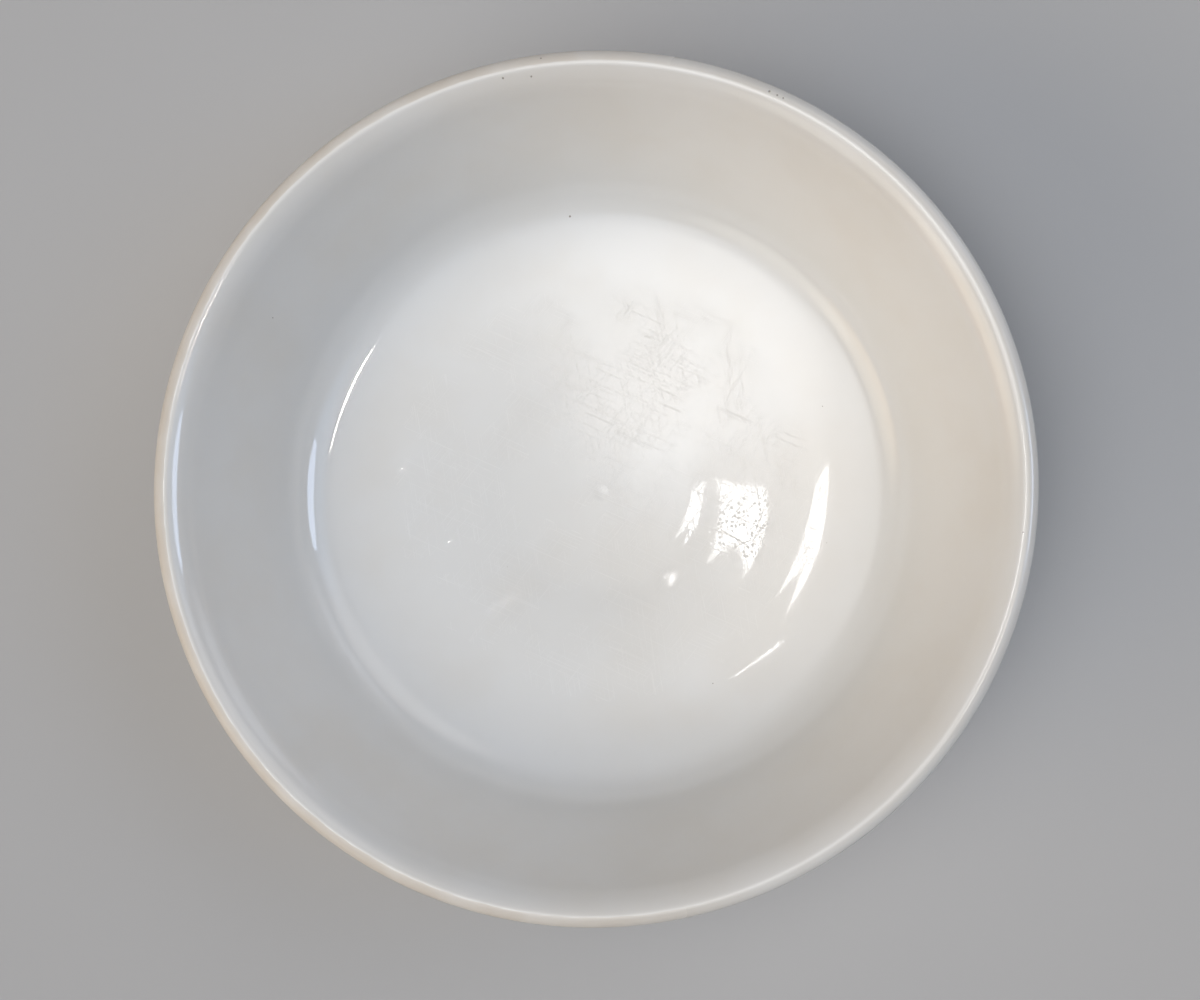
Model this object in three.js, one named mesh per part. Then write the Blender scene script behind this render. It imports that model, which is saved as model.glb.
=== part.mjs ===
// A round laboratory evaporating dish of hard porcelain: a low dish with a dished floor, a
// sloping wall, a flared lip with a full-round edge, and a low unglazed foot ring.
// It is made the way the real one is: one turned and fired body, and one glaze coat over all of it
// but the foot. Both are bodies of revolution about +Z, and the dish stands on z = 0.
import * as THREE from 'three';

// Driving dimensions, in millimetres and degrees. The dish's own are those of its glazed surface.
const OUTER_DIAMETER = 90;
const WALL_THICKNESS = 2.4; // glaze to glaze, and so the thickness of the round rim
const FLOOR_THICKNESS = 2.8; // at the centre, from the glaze down to the recess
const GLAZE_THICKNESS = 0.25;

// The arcs of the bowl, from the middle of the floor out to the straight wall: the radius from the
// axis and the slope at which each one ends, and how many facets it takes.
const BOWL_ARCS = [
  { radius: 11, slope: 6, steps: 2 },
  { radius: 24, slope: 9, steps: 2 },
  { radius: 30.2, slope: 13.5, steps: 1 },
  { radius: 34.2, slope: 63, steps: 5 },
];
const FLARE_RADIUS = 4.6; // of the bend that turns the wall outwards into the lip
const LIP_SLOPE = 25;

const FOOT_OUTER_RADIUS = 25.5;
const FOOT_DRAFT = 8; // lean of the foot's sides from the vertical
const FOOT_FILLET = 1.2;
const FOOT_EDGE_RADIUS = 0.45;
const RECESS_DEPTH = 0.8; // from the foot's face up to the middle of the floor's underside
const RECESS_RADIUS = 21.1; // where the underside of the floor turns down into the foot
const RECESS_SLOPE = 6; // of the underside there
const GLAZE_LINE = 1.15; // height at which the glaze stops on the outside of the foot

const TURN_STEPS = 48; // facets around the axis

const OUTWARD = 0;
const INWARD = -180;
const DOWN = -90;

const sin = (degrees) => Math.sin(THREE.MathUtils.degToRad(degrees));
const cos = (degrees) => Math.cos(THREE.MathUtils.degToRad(degrees));

// Draws a section outline in the half plane of radius r and height z. The pen's heading is in
// degrees from the outward direction, and positive turns are anticlockwise.
class Pen {
  constructor(r, z, heading) {
    this.points = [{ r, z, heading }];
  }

  get tip() {
    return this.points.at(-1);
  }

  line(length) {
    const { r, z, heading } = this.tip;
    this.points.push({ r: r + length * cos(heading), z: z + length * sin(heading), heading });
    return this;
  }

  lineToHeight(z) {
    return this.line((z - this.tip.z) / sin(this.tip.heading));
  }

  lineToRadius(r) {
    return this.line((r - this.tip.r) / cos(this.tip.heading));
  }

  arc(radius, toHeading, steps) {
    const start = this.tip;
    const side = Math.sign(toHeading - start.heading);
    const centre = offset(start, side * radius);
    for (let step = 1; step <= steps; step++) {
      const heading = start.heading + ((toHeading - start.heading) * step) / steps;
      this.points.push({ ...offset({ ...centre, heading }, -side * radius), heading });
    }
    return this;
  }
}

// The point at a distance to the left of an outline point's heading.
function offset({ r, z, heading }, distance) {
  return { r: r - distance * sin(heading), z: z + distance * cos(heading), heading };
}

// The glazed surface, from the middle of the floor, over the rim and down to the glaze line.
function glazedOutline() {
  const wall = BOWL_ARCS.at(-1);
  const beadRadius = WALL_THICKNESS / 2;
  const lipReach = FLARE_RADIUS * (sin(wall.slope) - sin(LIP_SLOPE)) + beadRadius * (1 + sin(LIP_SLOPE));
  const wallLength = (OUTER_DIAMETER / 2 - lipReach - wall.radius) / cos(wall.slope);

  const pen = new Pen(0, RECESS_DEPTH + FLOOR_THICKNESS, OUTWARD);
  const outside = BOWL_ARCS.map(({ radius, slope, steps }) => {
    const start = pen.tip;
    const bend = (radius - start.r) / (sin(slope) - sin(start.heading));
    pen.arc(bend, slope, steps);
    return { radius: bend + WALL_THICKNESS, slope: start.heading, steps };
  });
  pen
    .line(wallLength)
    .arc(FLARE_RADIUS, LIP_SLOPE, 3)
    .arc(beadRadius, LIP_SLOPE + INWARD, 8)
    .arc(FLARE_RADIUS - WALL_THICKNESS, wall.slope + INWARD, 2)
    .line(wallLength);

  // The outside runs in parallel with the bowl until the fillet of the foot can take over from it.
  for (const arc of outside.reverse()) {
    const centre = offset(pen.tip, -arc.radius).r;
    const sinAtFoot = (FOOT_OUTER_RADIUS + FOOT_FILLET - centre) / arc.radius;
    if (sinAtFoot > sin(arc.slope)) {
      pen.arc(arc.radius, THREE.MathUtils.radToDeg(Math.asin(sinAtFoot)) + INWARD, arc.steps);
      break;
    }
    pen.arc(arc.radius, arc.slope + INWARD, arc.steps);
  }
  return pen.arc(FOOT_FILLET, DOWN - FOOT_DRAFT, 3).lineToHeight(GLAZE_LINE).points;
}

// The bare foot and the underside of the floor, from the middle out to just under the glaze's edge.
function bareOutline(glazeEdge) {
  const edgeDrop = FOOT_EDGE_RADIUS * (1 - sin(FOOT_DRAFT));
  const lean = Math.tan(THREE.MathUtils.degToRad(FOOT_DRAFT));
  const faceEnd = glazeEdge.r - lean * (glazeEdge.z - edgeDrop) - FOOT_EDGE_RADIUS * cos(FOOT_DRAFT);
  return new Pen(0, RECESS_DEPTH, OUTWARD)
    .arc(RECESS_RADIUS / sin(RECESS_SLOPE), RECESS_SLOPE, 3)
    .arc(FOOT_EDGE_RADIUS, DOWN + FOOT_DRAFT, 2)
    .lineToHeight(edgeDrop)
    .arc(FOOT_EDGE_RADIUS, OUTWARD, 2)
    .lineToRadius(faceEnd)
    .arc(FOOT_EDGE_RADIUS, -DOWN - FOOT_DRAFT, 2).points;
}

// Turns a section about +Z. LatheGeometry turns about +Y and wants the section anticlockwise.
function turned(name, outline, material) {
  const section = outline.map(({ r, z }) => new THREE.Vector2(Math.max(r, 0), z)).reverse();
  const geometry = new THREE.LatheGeometry(section, TURN_STEPS).rotateX(Math.PI / 2);
  const mesh = new THREE.Mesh(geometry, material);
  mesh.name = name;
  return mesh;
}

const glazed = glazedOutline();
const underGlaze = glazed.map((point) => offset(point, -GLAZE_THICKNESS));
const bare = bareOutline(underGlaze.at(-1));

const biscuit = new THREE.MeshStandardMaterial({ color: 0xe6e0d4, roughness: 0.75, metalness: 0 });
const glaze = new THREE.MeshStandardMaterial({ color: 0xeceae6, roughness: 0.08, metalness: 0 });

const dish = new THREE.Group();
dish.add(turned('porcelain_body', [...underGlaze, ...bare.toReversed()], biscuit));
dish.add(turned('glaze_coat', [...glazed, ...underGlaze.toReversed()], glaze));

export default dish;
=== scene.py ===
"""A porcelain evaporating dish, seen from almost straight above on a plain pale floor."""

import math

import bmesh
import bpy
import numpy as np
from mathutils import Matrix, Vector


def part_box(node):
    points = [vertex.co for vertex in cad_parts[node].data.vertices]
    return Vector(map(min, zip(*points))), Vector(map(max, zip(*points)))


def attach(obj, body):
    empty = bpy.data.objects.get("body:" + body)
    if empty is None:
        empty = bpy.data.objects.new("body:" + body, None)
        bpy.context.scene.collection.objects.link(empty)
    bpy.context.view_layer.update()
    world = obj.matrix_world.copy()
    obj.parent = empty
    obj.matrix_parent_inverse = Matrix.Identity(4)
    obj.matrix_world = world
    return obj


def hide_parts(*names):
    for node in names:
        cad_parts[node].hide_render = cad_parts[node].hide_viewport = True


MM = 0.001

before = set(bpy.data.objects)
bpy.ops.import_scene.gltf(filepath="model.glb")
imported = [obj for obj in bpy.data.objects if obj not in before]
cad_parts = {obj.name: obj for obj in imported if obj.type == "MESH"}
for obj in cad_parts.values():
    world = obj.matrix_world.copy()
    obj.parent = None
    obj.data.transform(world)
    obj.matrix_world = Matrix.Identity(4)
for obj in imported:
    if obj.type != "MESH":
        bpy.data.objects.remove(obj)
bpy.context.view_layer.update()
glaze_low, glaze_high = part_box("glaze_coat")
body_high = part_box("porcelain_body")[1]


# ---- camera -------------------------------------------------------------------------------------

SENSOR_WIDTH = 36.0
LENS = 66.6
CAMERA_DISTANCE = 225.0  # above the rim, in mm
CAMERA_OFFSET = (9.5, -8.2)  # from the dish's axis, in mm
AIM = (0.75, -1.4)  # the point in the rim's plane that the camera looks at, in mm


def link(thing):
    bpy.context.scene.collection.objects.link(thing)
    return thing


def add_camera():
    data = bpy.data.cameras.new("camera")
    data.sensor_width = SENSOR_WIDTH
    data.lens = LENS
    camera = link(bpy.data.objects.new("camera", data))
    rim = glaze_high.z
    camera.location = (CAMERA_OFFSET[0] * MM, CAMERA_OFFSET[1] * MM, rim + CAMERA_DISTANCE * MM)
    aim = Vector((AIM[0] * MM, AIM[1] * MM, rim))
    back = (camera.location - aim).normalized()
    right = Vector((0, 1, 0)).cross(back).normalized()
    camera.rotation_euler = Matrix((right, back.cross(right), back)).transposed().to_euler()
    bpy.context.scene.camera = camera


# ---- section ------------------------------------------------------------------------------------

# The dish's section, in millimetres and degrees, on its glazed surface. These repeat the CAD's driving
# dimensions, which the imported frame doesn't hold. What it does hold is read from it.
OUTER_RADIUS = glaze_high.x / MM
GLAZE_LINE = glaze_low.z / MM
GLAZE_THICKNESS = OUTER_RADIUS - body_high.x / MM
WALL_THICKNESS = 2.4
FLOOR_HEIGHT = 3.6
# Where each arc of the bowl ends, from the middle of the floor outwards: radius and slope.
BOWL_ARCS = ((11.0, 6.0), (24.0, 9.0), (30.2, 13.5), (34.2, 63.0))
FLARE_RADIUS = 4.6
LIP_SLOPE = 25.0
FOOT_OUTER_RADIUS = 25.5
FOOT_DRAFT = 8.0
FOOT_FILLET = 1.2
FOOT_EDGE_RADIUS = 0.45
RECESS_DEPTH = 0.8
RECESS_RADIUS = 21.1
RECESS_SLOPE = 6.0

OUTWARD = 0.0
INWARD = -180.0
DOWN = -90.0

# The longest step along the section, in mm.
FINE = 0.13  # on the rim and the foot
MEDIUM = 0.55  # on the bowl and its outside
SOFTENING = 0.28  # over which turning and glazing even out a change of curve, in mm
GLAZE_ROLL = 0.85  # radius of the glaze's rounded end, as a share of its thickness


def sine(degrees):
    return math.sin(math.radians(degrees))


def cosine(degrees):
    return math.cos(math.radians(degrees))


def offset(point, distance):
    """The point at a distance to the left of a section point's heading."""
    r, z, heading = point
    return r - distance * sine(heading), z + distance * cosine(heading), heading


class Pen:
    """Draws a section in the half plane of radius and height. Its points are (radius, height, heading),
    and the heading is in degrees from outward."""

    def __init__(self, r, z, heading):
        self.points = [(r, z, heading)]

    @property
    def tip(self):
        return self.points[-1]

    def line(self, length, step):
        r, z, heading = self.tip
        count = max(1, math.ceil(length / step))
        for i in range(1, count + 1):
            along = length * i / count
            self.points.append((r + along * cosine(heading), z + along * sine(heading), heading))

    def line_to_height(self, z, step):
        self.line((z - self.tip[1]) / sine(self.tip[2]), step)

    def line_to_radius(self, r, step):
        self.line((r - self.tip[0]) / cosine(self.tip[2]), step)

    def arc(self, radius, to_heading, step):
        start = self.tip
        turn = to_heading - start[2]
        side = math.copysign(1.0, turn)
        centre = offset(start, side * radius)
        count = max(2, math.ceil(abs(math.radians(turn)) * radius / step))
        for i in range(1, count + 1):
            heading = start[2] + turn * i / count
            self.points.append(offset((centre[0], centre[1], heading), -side * radius))


def glazed_outline():
    """The glazed surface, from the middle of the floor, over the rim and down to the glaze line."""
    wall_radius, wall_slope = BOWL_ARCS[-1]
    bead_radius = WALL_THICKNESS / 2
    lip_reach = FLARE_RADIUS * (sine(wall_slope) - sine(LIP_SLOPE)) + bead_radius * (1 + sine(LIP_SLOPE))
    wall_length = (OUTER_RADIUS - lip_reach - wall_radius) / cosine(wall_slope)
    pen = Pen(0, FLOOR_HEIGHT, OUTWARD)
    outside = []
    for radius, slope in BOWL_ARCS:
        start = pen.tip
        bend = (radius - start[0]) / (sine(slope) - sine(start[2]))
        pen.arc(bend, slope, MEDIUM)
        outside.append((bend + WALL_THICKNESS, start[2]))
    pen.line(wall_length, MEDIUM)
    pen.arc(FLARE_RADIUS, LIP_SLOPE, FINE)
    pen.arc(bead_radius, LIP_SLOPE + INWARD, FINE)
    pen.arc(FLARE_RADIUS - WALL_THICKNESS, wall_slope + INWARD, FINE)
    pen.line(wall_length, MEDIUM)
    # The outside runs in parallel with the bowl until the fillet of the foot can take over from it.
    for bend, slope in reversed(outside):
        centre = offset(pen.tip, -bend)[0]
        sine_at_foot = (FOOT_OUTER_RADIUS + FOOT_FILLET - centre) / bend
        if sine_at_foot > sine(slope):
            pen.arc(bend, math.degrees(math.asin(sine_at_foot)) + INWARD, MEDIUM)
            break
        pen.arc(bend, slope + INWARD, MEDIUM)
    pen.arc(FOOT_FILLET, DOWN - FOOT_DRAFT, FINE)
    pen.line_to_height(GLAZE_LINE, FINE)
    return pen.points


def rolled_edge(outline):
    """The end of the glaze, rounded over its own thickness where it ran and stopped."""
    roll = GLAZE_ROLL * GLAZE_THICKNESS
    stop = GLAZE_LINE + roll
    straight = [point for point in outline if point[1] > stop or point[0] > FOOT_OUTER_RADIUS + 1]
    pen = Pen(*straight[-1])
    pen.line_to_height(stop, FINE)
    pen.arc(roll, INWARD - FOOT_DRAFT, FINE / 4)
    return straight + pen.points[1:]


def bare_outline(glaze_edge):
    """The underside of the floor and the foot, from the middle out to just under the glaze's edge."""
    edge_drop = FOOT_EDGE_RADIUS * (1 - sine(FOOT_DRAFT))
    lean = math.tan(math.radians(FOOT_DRAFT))
    face_end = glaze_edge[0] - lean * (glaze_edge[1] - edge_drop) - FOOT_EDGE_RADIUS * cosine(FOOT_DRAFT)
    pen = Pen(0, RECESS_DEPTH, OUTWARD)
    pen.arc(RECESS_RADIUS / sine(RECESS_SLOPE), RECESS_SLOPE, MEDIUM)
    pen.arc(FOOT_EDGE_RADIUS, DOWN + FOOT_DRAFT, FINE)
    pen.line_to_height(edge_drop, FINE)
    pen.arc(FOOT_EDGE_RADIUS, OUTWARD, FINE)
    pen.line_to_radius(face_end, 2 * FINE)
    pen.arc(FOOT_EDGE_RADIUS, -DOWN - FOOT_DRAFT, FINE)
    pen.line_to_height(glaze_edge[1], FINE)
    return pen.points


def softened(points):
    """A section's (radius, height) points, moved so that its curvature changes gradually."""
    places = np.array([point[:2] for point in points])
    steps = np.hypot(*np.diff(places, axis=0).T)
    along = np.concatenate([[0.0], np.cumsum(steps)])
    even = np.linspace(0, along[-1], math.ceil(along[-1] / FINE * 2))
    spread = SOFTENING / even[1]
    reach = math.ceil(3 * spread)
    weights = np.exp(-0.5 * (np.arange(-reach, reach + 1) / spread) ** 2)
    weights /= weights.sum()
    moved = []
    for values in places.T:
        line = np.interp(even, along, values)
        before = 2 * line[0] - line[reach:0:-1]
        after = 2 * line[-1] - line[-2 : -reach - 2 : -1]
        smooth = np.convolve(np.concatenate([before, line, after]), weights, "valid")
        moved.append(np.interp(along, even, smooth))
    return np.stack(moved, axis=1)


# ---- meshes -------------------------------------------------------------------------------------

SEGMENTS = 320  # around the axis

# What jiggering and firing did to the section, in mm.
# Shallow rings in the floor: radius, change of slope there in degrees, width, and how far off the axis
# each one lies towards +Y.
FLOOR_WAVES = ((12.3, 1.75, 1.9, 0.0), (21.2, -2.3, 2.6, 1.0))
TOOL_RINGS = ((2.3, 0.0004), (3.7, 0.0010))  # wavelength and height of the rings that the tool left
TOOL_RINGS_FROM = 6.0  # radius from which they have their whole height
WARP = 0.25  # by which the rim is out of round
WARP_AXIS = math.radians(18)  # from +X to the rim's long axis
SAG = 0.02  # by which the floor is uneven
SAG_FROM = 25.0  # radius from which that unevenness has its whole size
RUN = 0.06  # by which the glaze's edge wanders up and down
RUN_REACH = 0.5  # height over which that dies out
RECESS_RINGS = (1.9, 0.018)  # wavelength and height of the turning rings under the floor
UNDERSIDE = 2.5  # height that the floor's underside stays below
STEADY_HEIGHT = 3.0  # below which the floor's waves and rings fade towards the foot


def fired(r, z, angle):
    """Moves the points of a perfect dish to where they are on a jiggered and fired one."""
    rise = np.zeros_like(z)
    for radius, slope, width, shift in FLOOR_WAVES:
        away = (r - shift * np.sin(angle) - radius) / width
        rise -= math.radians(slope) * width * math.sqrt(math.pi) / 2 * (1 - np.vectorize(math.erf)(away))
    for wavelength, height in TOOL_RINGS:
        ring = np.sin(2 * math.pi * r / wavelength + 0.4 * np.sin(angle))
        rise += height * ring * np.clip(r / TOOL_RINGS_FROM, 0, 1)
    rise += SAG * np.clip(r / SAG_FROM, 0, 1) ** 2 * np.cos(3 * angle + 1.0)
    outwards = WARP * np.clip(r / OUTER_RADIUS, 0, 1) ** 3 * np.cos(2 * (angle - WARP_AXIS))
    run = RUN * (np.sin(5 * angle) + 0.6 * np.sin(11 * angle + 2.0) + 0.4 * np.sin(23 * angle + 1.0))
    at_edge = np.exp(-(((z - GLAZE_LINE) / RUN_REACH) ** 2)) * (r > RECESS_RADIUS + 2 * FOOT_EDGE_RADIUS)
    wavelength, height = RECESS_RINGS
    in_recess = np.clip((RECESS_RADIUS - r) / 2, 0, 1) * (z < UNDERSIDE)
    grooves = height * np.sin(2 * math.pi * r / wavelength) * in_recess
    return r + outwards, z + rise * np.clip(z / STEADY_HEIGHT, 0, 1) + run * at_edge + grooves


def turned(name, section):
    """A closed body of revolution from (radius, height) points, from the axis back to the axis or closed
    on itself."""
    section = np.asarray(section, float)
    from_axis = section[0][0] < 1e-9
    to_axis = section[-1][0] < 1e-9
    rings = section[int(from_axis) : len(section) - int(to_axis)]
    angle = np.tile(np.arange(SEGMENTS) * (2 * math.pi / SEGMENTS), (len(rings), 1))
    r, z = fired(np.tile(rings[:, :1], SEGMENTS), np.tile(rings[:, 1:], SEGMENTS), angle)
    vertices = np.stack([r * np.cos(angle), r * np.sin(angle), z], axis=-1).reshape(-1, 3).tolist()
    index = np.arange(len(rings) * SEGMENTS).reshape(-1, SEGMENTS)
    beside = np.roll(index, -1, axis=1)
    if from_axis:
        corners = (index[:-1], index[1:], beside[1:], beside[:-1])
    else:
        corners = (index, np.roll(index, -1, axis=0), np.roll(beside, -1, axis=0), beside)
    faces = np.stack(corners, axis=-1).reshape(-1, 4).tolist()
    for row, place in ((0, section[0]), (-1, section[-1])):
        if place[0] < 1e-9:
            tip = len(vertices)
            vertices.append([0.0, 0.0, place[1]])
            for here, there in zip(index[row].tolist(), beside[row].tolist()):
                faces.append([tip, here, there] if row == 0 else [tip, there, here])
    mesh = bpy.data.meshes.new(name)
    mesh.from_pydata([[value * MM for value in vertex] for vertex in vertices], [], faces)
    face_outwards(mesh)
    mesh.shade_smooth()
    return link(bpy.data.objects.new(name, mesh))


def face_outwards(mesh):
    work = bmesh.new()
    work.from_mesh(mesh)
    if work.calc_volume(signed=True) < 0:
        bmesh.ops.reverse_faces(work, faces=work.faces)
        work.to_mesh(mesh)
    work.free()


def make_pieces():
    """The glaze coat, closed over its own thickness, and the body that it lies on."""
    outline = glazed_outline()
    surface = softened(rolled_edge(outline))
    contact = [offset(point, -GLAZE_THICKNESS) for point in outline]
    hidden = np.array([point[:2] for point in contact[::5] + contact[-1:]])
    bare = np.array([point[:2] for point in bare_outline(contact[-1])])
    glaze_shell = turned("glaze_shell", np.concatenate([surface, hidden[::-1]]))
    biscuit_body = turned("biscuit_body", np.concatenate([hidden[:-1], bare[::-1]]))
    return glaze_shell, biscuit_body


# ---- materials ----------------------------------------------------------------------------------


class Nodes:
    """Short ways to add nodes to a node tree."""

    def __init__(self, tree):
        self.tree = tree

    def node(self, kind, inputs=None, **settings):
        made = self.tree.nodes.new("ShaderNode" + kind)
        for name, value in settings.items():
            setattr(made, name, value)
        for name, value in (inputs or {}).items():
            self.feed(made.inputs[name], value)
        return made

    def feed(self, socket, value):
        if isinstance(value, bpy.types.NodeSocket):
            self.tree.links.new(value, socket)
        else:
            socket.default_value = value

    def vector(self, operation, *values, **named):
        inputs = {**dict(enumerate(values)), **named}
        return self.node("VectorMath", inputs, operation=operation).outputs["Vector"]

    def distance(self, vector):
        return self.node("VectorMath", {0: vector}, operation="LENGTH").outputs["Value"]

    def dot(self, first, second):
        return self.node("VectorMath", {0: first, 1: second}, operation="DOT_PRODUCT").outputs["Value"]

    def rotated(self, vector, angle):
        return self.node("VectorRotate", {"Vector": vector, "Angle": math.radians(angle)}).outputs[0]

    def maths(self, operation, *values):
        return self.node("Math", dict(enumerate(values)), operation=operation).outputs[0]

    def times(self, first, *others):
        for other in others:
            first = self.maths("MULTIPLY", first, other)
        return first

    def plus(self, first, *others):
        for other in others:
            first = self.maths("ADD", first, other)
        return first

    def change(self, value, start, end, low=0.0, high=1.0):
        """low before start and high after end, smoothly. end may be less than start."""
        inputs = {"Value": value, "From Min": start, "From Max": end, "To Min": low, "To Max": high}
        return self.node("MapRange", inputs, interpolation_type="SMOOTHSTEP").outputs["Result"]

    def colour(self, share, first, second):
        """first where share is 0, and second where it is 1. Each is a colour or another socket."""
        mix = self.node("Mix", data_type="RGBA")
        for index, value in ((0, share), (6, first), (7, second)):
            self.feed(mix.inputs[index], (*value, 1) if isinstance(value, tuple) else value)
        return mix.outputs[2]


class Shader(Nodes):
    """A material, and short ways to add nodes to it. Lengths are in mm, in the part's own frame."""

    def __init__(self, name):
        self.material = bpy.data.materials.new(name)
        self.material.use_nodes = True
        super().__init__(self.material.node_tree)
        self.surface = self.tree.nodes["Principled BSDF"]
        point = self.node("TexCoord").outputs["Object"]
        self.place = self.vector("SCALE", point, Scale=1 / MM)
        axes = self.node("SeparateXYZ", {0: self.place})
        self.across = axes.outputs["X"]
        self.height = axes.outputs["Z"]
        flat_place = self.vector("MULTIPLY", self.place, (1, 1, 0))
        self.radius = self.distance(flat_place)
        normal = self.node("TexCoord").outputs["Normal"]
        self.outward = self.dot(self.vector("NORMALIZE", flat_place), normal)

    def finish(self, **inputs):
        for name, value in inputs.items():
            self.feed(self.surface.inputs[name.replace("_", " ")], value)
        return self.material

    def noise(self, size, detail=2.0, place=None):
        inputs = {"Vector": place or self.place, "Scale": 1 / size, "Detail": detail}
        return self.node("TexNoise", inputs).outputs["Fac"]

    def bump(self, height, depth, normal=None):
        """A relief of that depth in mm, on top of another."""
        inputs = {"Height": height, "Distance": depth * MM}
        if normal:
            inputs["Normal"] = normal
        return self.node("Bump", inputs).outputs["Normal"]

    def spots(self, spacing, size, share):
        """Round spots of a size, one in each of a share of the cells of that spacing."""
        cells = self.node("TexVoronoi", {"Vector": self.place, "Scale": 1 / spacing})
        lot = self.node("SeparateColor", {0: cells.outputs["Color"]}).outputs[0]
        spot = self.change(cells.outputs["Distance"], size / spacing, 0.6 * size / spacing)
        return self.times(spot, self.maths("LESS_THAN", lot, share))

    def away_from(self, x, y):
        """The distance from a place, as seen from above."""
        moved = self.vector("SUBTRACT", self.place, (x, y, 0))
        return self.distance(self.vector("MULTIPLY", moved, (1, 1, 0)))

    def marks(self, places):
        """Round marks at given places, each (x, y, size)."""
        found = 0.0
        for x, y, size in places:
            mark = self.change(self.away_from(x, y), size, 0.4 * size)
            found = self.maths("MAXIMUM", mark, found)
        return found

    def cuts(self, places):
        """Scratches at given places, each (x, y, angle, length, width)."""
        found = 0.0
        for x, y, angle, length, width in places:
            moved = self.vector("SUBTRACT", self.place, (x, y, 0))
            along = self.rotated(moved, -angle)
            away = self.distance(self.vector("MULTIPLY", along, (2 / length, 2 / width, 0)))
            found = self.maths("MAXIMUM", self.change(away, 1.0, 0.5), found)
        return found

    def streaks(self, angle, length, width, share):
        """Fine scratches in one direction, covering about that share of the surface."""
        stretch = (1 / length, 1 / width, 1 / length)
        stretched = self.vector("MULTIPLY", self.rotated(self.place, angle), stretch)
        return self.change(self.noise(1.0, 0.0, stretched), 0.76 - share, 0.80 - share)


# Pinholes in the glaze on the rim, and iron specks in the bowl: x, y and size, in mm.
RIM_PINHOLES = (
    (-9.2, 41.8, 0.14),
    (-6.3, 42.0, 0.12),
    (-5.3, 43.8, 0.12),
    (18.0, 40.2, 0.16),
    (18.8, 39.8, 0.13),
    (19.4, 39.5, 0.12),
    (43.4, -4.7, 0.09),
)
IRON_SPECKS = ((-3.3, 30.5, 0.15), (-34.1, 18.1, 0.07), (12.4, -21.0, 0.08), (24.5, 9.5, 0.07))

# Wear on the floor, which ends between these two radii: the angle, length and width of the fine
# scratches, and the share of the worn floor that each direction covers.
USED_RADIUS = 20.0
UNUSED_RADIUS = 27.0
FINE_SCRATCHES = ((24, 7.0, 0.10), (-52, 5.0, 0.08), (81, 4.0, 0.09))
SCRATCH_SHARE = 0.07

# The most worn place on the floor, and the scratches across it: x, y, angle, length and width.
WORN_PLACE = (16.3, -4.0)
DEEP_SCRATCHES = (
    (14.9, -5.0, -31, 4.2, 0.16),
    (15.7, -5.6, 22, 2.6, 0.14),
    (17.6, -3.0, 68, 3.0, 0.12),
)

GLAZE_IOR = 1.52
GLAZE_WHITE = (0.840, 0.832, 0.814)
GLAZE_CREAM = (0.818, 0.798, 0.764)
GLAZE_POOLED = (0.800, 0.806, 0.804)
# The warm tint of thin glaze, darkened further to serve as painted shade on the rim.
GLAZE_THIN_AND_SHADE = (0.700, 0.645, 0.575)
IRON = (0.20, 0.15, 0.12)


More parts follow.
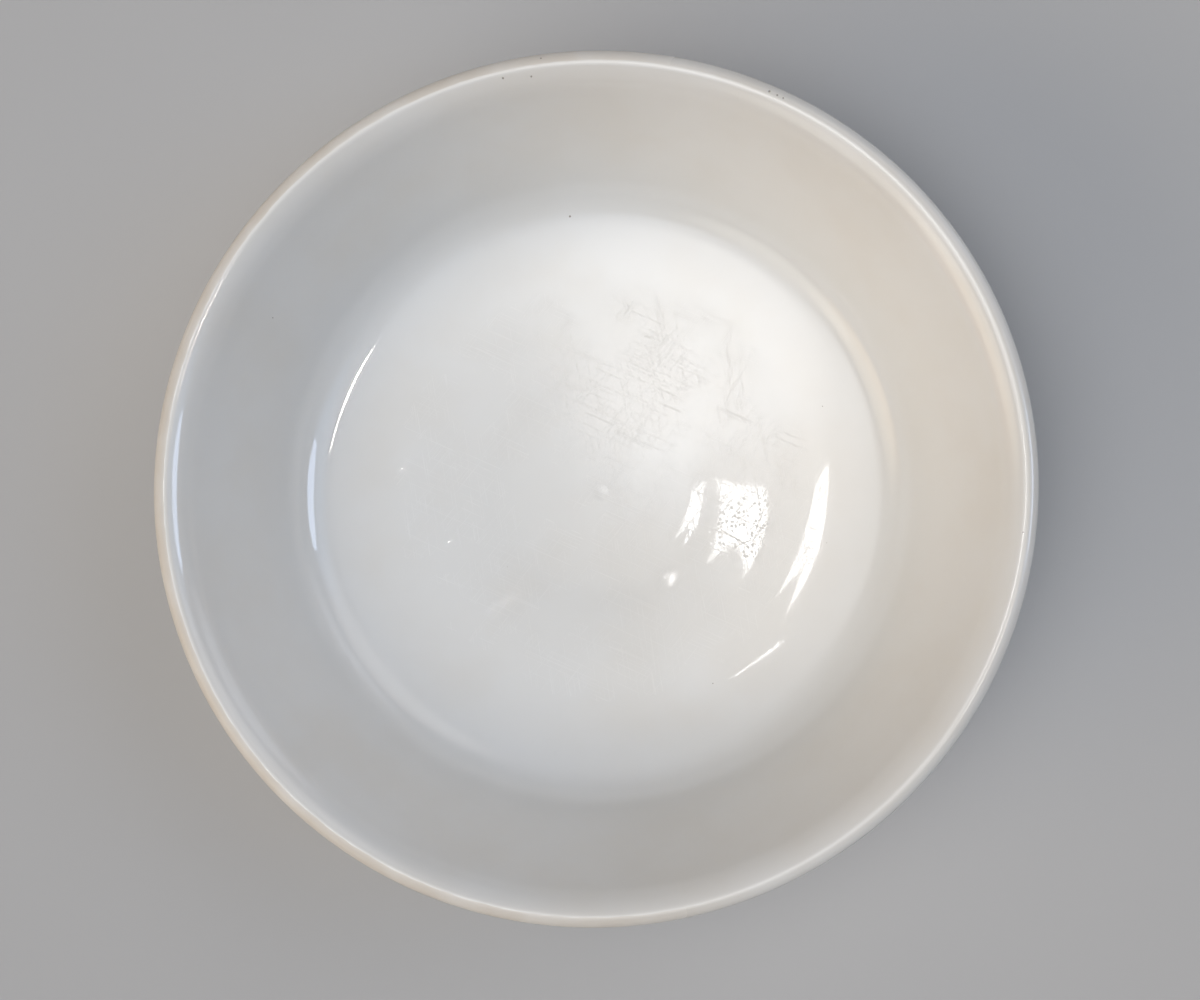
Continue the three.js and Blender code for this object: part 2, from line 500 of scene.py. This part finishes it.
def glaze_material():
    """A clear glaze on white ware: cloudy where it is thick, warm where it is thin, with painted shade on
    the rim's −X side, and finely worn.
    """
    glaze = Shader("white_glaze")
    rim = glaze_high.z / MM
    clouds = glaze.change(glaze.noise(13.0, 3.0), 0.35, 0.7)
    patches = glaze.noise(4.5, 2.0)
    # Grows towards −X: partly glaze drained thin on that side, partly painted shade darkening the rim
    # there.
    drained_and_shaded_side = glaze.change(glaze.across, 25.0, -10.0, 0.3, 1.0)
    pooled = glaze.times(glaze.change(glaze.radius, 25.0, 31.0), glaze.change(glaze.radius, 38.0, 33.0))
    ragged = glaze.change(glaze.noise(1.6, 2.0), 0.3, 0.7, -0.03, 0.03)
    past_crest = glaze.change(glaze.plus(glaze.outward, ragged), -0.05, 0.01)
    thin_and_shaded_rim = glaze.times(past_crest, glaze.change(glaze.height, rim - 3.4, rim - 1.6), drained_and_shaded_side)
    rim_tint_and_shade = glaze.times(thin_and_shaded_rim, glaze.change(patches, 0.25, 0.7, 0.45, 0.85))
    on_lip = glaze.change(glaze.height, rim - 1.4, rim - 0.9)
    thin_edge = glaze.change(glaze.height, GLAZE_LINE + 1.0, GLAZE_LINE)
    faint_specks = glaze.times(glaze.spots(11.0, 0.07, 0.45), 0.45)
    specks = glaze.maths("MAXIMUM", glaze.marks(IRON_SPECKS), faint_specks)
    pinholes = glaze.marks(RIM_PINHOLES)

    colour = glaze.colour(clouds, GLAZE_WHITE, GLAZE_CREAM)
    colour = glaze.colour(glaze.times(pooled, 0.5), colour, GLAZE_POOLED)
    # Painted shade: a darker, warmer band on the rim, strongest towards −X, on top of the thin glaze's own
    # tint.
    colour = glaze.colour(rim_tint_and_shade, colour, GLAZE_THIN_AND_SHADE)
    colour = glaze.colour(glaze.times(thin_edge, 0.8), colour, GLAZE_THIN_AND_SHADE)
    colour = glaze.colour(glaze.times(pinholes, 0.65), colour, IRON)
    colour = glaze.colour(glaze.times(specks, 0.85), colour, IRON)

    on_floor = glaze.change(glaze.radius, UNUSED_RADIUS, USED_RADIUS)
    used = glaze.times(on_floor, glaze.change(glaze.noise(7.0, 1.0), 0.32, 0.52))
    light_wear = glaze.spots(1.1, 0.12, 0.4)
    for angle, length, width in FINE_SCRATCHES:
        scratches = glaze.streaks(angle, length, width, SCRATCH_SHARE)
        light_wear = glaze.maths("MAXIMUM", light_wear, scratches)
    light_wear = glaze.times(light_wear, used, 0.45)
    at_worn_place = glaze.change(glaze.away_from(*WORN_PLACE), 4.8, 2.0)
    deep_pits = glaze.times(glaze.spots(0.45, 0.18, 0.5), at_worn_place)
    deep_wear = glaze.maths("MAXIMUM", deep_pits, glaze.cuts(DEEP_SCRATCHES))
    wear = glaze.maths("MAXIMUM", light_wear, deep_wear)

    roughness = glaze.plus(
        glaze.change(patches, 0.2, 0.8, 0.025, 0.045),
        glaze.times(wear, 0.9),
        glaze.times(thin_and_shaded_rim, 0.34),
        glaze.times(on_lip, 0.03),
    )
    relief = glaze.bump(glaze.noise(4.0, 0.0), 0.0012)
    relief = glaze.bump(glaze.maths("SUBTRACT", 1.0, wear), 0.004, relief)
    relief = glaze.bump(glaze.maths("SUBTRACT", 1.0, pinholes), 0.05, relief)
    glaze.surface.inputs["IOR"].default_value = GLAZE_IOR
    return glaze.finish(Base_Color=colour, Roughness=roughness, Normal=relief)


BISCUIT_PALE = (0.755, 0.720, 0.655)
BISCUIT_WARM = (0.690, 0.640, 0.555)
FOOT_GREY = (0.560, 0.545, 0.515)


def biscuit_material():
    """Unglazed porcelain: a fine sandy grain, and a foot ground flat and grubby from benches."""
    biscuit = Shader("biscuit_porcelain")
    clouds = biscuit.change(biscuit.noise(5.0, 4.0), 0.35, 0.68)
    grain = biscuit.noise(0.22, 3.0)
    specks = biscuit.spots(3.1, 0.10, 0.35)
    rings = biscuit.node("CombineXYZ", {0: biscuit.times(biscuit.radius, 7.0), 1: biscuit.noise(9.0, 0.0)})
    ground_rings = biscuit.noise(1.0, 2.0, rings.outputs[0])
    foot_face = biscuit.change(biscuit.height, 0.25, 0.02)
    grubby = biscuit.times(foot_face, biscuit.change(biscuit.noise(3.0, 4.0), 0.35, 0.65))

    colour = biscuit.colour(clouds, BISCUIT_PALE, BISCUIT_WARM)
    colour = biscuit.colour(biscuit.times(biscuit.change(grain, 0.52, 0.7), 0.4), colour, BISCUIT_WARM)
    colour = biscuit.colour(biscuit.times(grubby, 0.6), colour, FOOT_GREY)
    dirty_rings = biscuit.times(foot_face, biscuit.change(ground_rings, 0.55, 0.62), 0.35)
    colour = biscuit.colour(dirty_rings, colour, FOOT_GREY)
    colour = biscuit.colour(biscuit.times(specks, 0.7), colour, IRON)

    roughness = biscuit.plus(biscuit.change(grain, 0.3, 0.7, 0.72, 0.88), biscuit.times(foot_face, -0.15))
    relief = biscuit.bump(grain, 0.010)
    relief = biscuit.bump(biscuit.times(ground_rings, foot_face), 0.012, relief)
    return biscuit.finish(Base_Color=colour, Roughness=roughness, Normal=relief)


# ---- stage --------------------------------------------------------------------------------------

FLOOR_SIZE = 10.0  # in m
FLOOR_LIGHT = (0.53, 0.53, 0.535)
FLOOR_DARK = (0.50, 0.50, 0.505)
FLOOR_MOTTLE = 60.0  # size of its lighter and darker patches, in mm
FLOOR_ROUGHNESS = 0.9


def add_floor():
    mesh = bpy.data.meshes.new("floor")
    half = FLOOR_SIZE / 2
    corners = [(-half, -half, 0), (half, -half, 0), (half, half, 0), (-half, half, 0)]
    mesh.from_pydata(corners, [], [(0, 1, 2, 3)])
    floor = link(bpy.data.objects.new("floor", mesh))
    paper = Shader("pale_floor")
    colour = paper.colour(paper.noise(FLOOR_MOTTLE), FLOOR_LIGHT, FLOOR_DARK)
    mesh.materials.append(paper.finish(Base_Color=colour, Roughness=FLOOR_ROUGHNESS))


def towards(azimuth, elevation):
    """The unit vector to a direction, in degrees anticlockwise from +X and above the floor."""
    return Vector(
        (cosine(azimuth) * cosine(elevation), sine(azimuth) * cosine(elevation), sine(elevation))
    )


# Lamps and windows that only the glaze's gloss shows: the azimuths and elevations of their corners,
# in degrees, their radiance and their colour.
WHITE = (1.0, 0.99, 0.97)
WARM = (1.0, 0.96, 0.90)
BLUE = (0.60, 0.74, 1.0)
LAMPS = (
    (
        "ceiling_lamp",
        (
            (177.5, 75.8), (170.5, 78.7), (159, 78.9), (147.5, 78.9),
            (154.5, 77.5), (145.5, 76.2), (158, 75.7),
        ),
        15.0,
        WHITE,
    ),
    (
        "far_ceiling_lamp",
        ((140.5, 73.72), (141, 73.84), (130, 75.12), (129.5, 75.0)),
        32.0,
        WHITE,
    ),
    (
        "wall_lamp",
        (
            (-33, 73.8), (-28, 74.0), (-23, 73.8), (-13, 72.6),
            (-1, 70.6), (-12, 72.1), (-22, 72.7), (-29, 73.3),
        ),
        110.0,
        WARM,
    ),
    (
        "window",
        ((-9, 38), (-8, 45), (-2, 48), (10, 47), (15, 43), (14, 36), (7, 34), (-3, 34)),
        7.5,
        BLUE,
    ),
)
LAMP_DISTANCE = 1.0  # in m, from the middle of the dish's foot

# The soft light of the room: azimuth and elevation of the middle of each glow, the angle at which it
# has faded away, and its radiance, which is whole within the core's angle.
GLOW_CORE = 5
GLOWS = (
    (0, 90, 22, (1.42, 1.40, 1.30)),
    (180, 72, 22, (1.60, 1.60, 1.62)),
    (225, 70, 22, (1.84, 1.86, 1.92)),
    (228, 77, 12, (1.40, 1.37, 1.30)),
    (270, 72, 22, (0.66, 0.75, 0.90)),
    (200, 31, 22, (2.10, 1.78, 1.25)),
    (228, 37, 22, (1.66, 1.58, 1.42)),
    (35, 12, 22, (1.38, 1.38, 1.42)),
    (0, 50, 22, (0.32, 0.68, 1.18)),
    (45, 50, 22, (1.38, 1.30, 1.24)),
    (200, 14, 24, (0.70, 0.35, 0.12)),
)
AMBIENT = (0.015, 0.01, 0.01)
BACKDROP = (0.395, 0.395, 0.40)  # what the camera sees beyond the floor


def add_lamps():
    for name, corners, radiance, colour in LAMPS:
        mesh = bpy.data.meshes.new(name)
        places = [towards(azimuth, elevation) * LAMP_DISTANCE for azimuth, elevation in corners]
        mesh.from_pydata(places, [], [range(len(places))])
        material = bpy.data.materials.new(name)
        material.use_nodes = True
        glow = Nodes(material.node_tree)
        emission = glow.node("Emission", {"Color": (*colour, 1), "Strength": radiance})
        glow.feed(material.node_tree.nodes["Material Output"].inputs["Surface"], emission.outputs[0])
        mesh.materials.append(material)
        lamp = link(bpy.data.objects.new(name, mesh))
        lamp.visible_camera = False
        lamp.visible_diffuse = False
        lamp.visible_shadow = False


def add_room():
    world = bpy.data.worlds.new("room")
    bpy.context.scene.world = world
    world.use_nodes = True
    room = Nodes(world.node_tree)
    direction = room.node("TexCoord").outputs["Generated"]
    light = AMBIENT
    for azimuth, elevation, reach, radiance in GLOWS:
        nearness = room.dot(direction, towards(azimuth, elevation))
        share = room.change(nearness, cosine(reach), cosine(GLOW_CORE))
        light = room.vector("ADD", light, room.vector("SCALE", radiance, Scale=share))
    seen_by_camera = room.node("LightPath").outputs["Is Camera Ray"]
    colour = room.colour(seen_by_camera, light, BACKDROP)
    room.feed(world.node_tree.nodes["Background"].inputs["Color"], colour)


add_camera()
glaze_shell, biscuit_body = make_pieces()
glaze_shell.data.materials.append(glaze_material())
biscuit_body.data.materials.append(biscuit_material())
add_floor()
add_room()
add_lamps()
bpy.context.scene.view_settings.view_transform = "Standard"

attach(glaze_shell, "root")
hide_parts("glaze_coat")
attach(biscuit_body, "root")
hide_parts("porcelain_body")
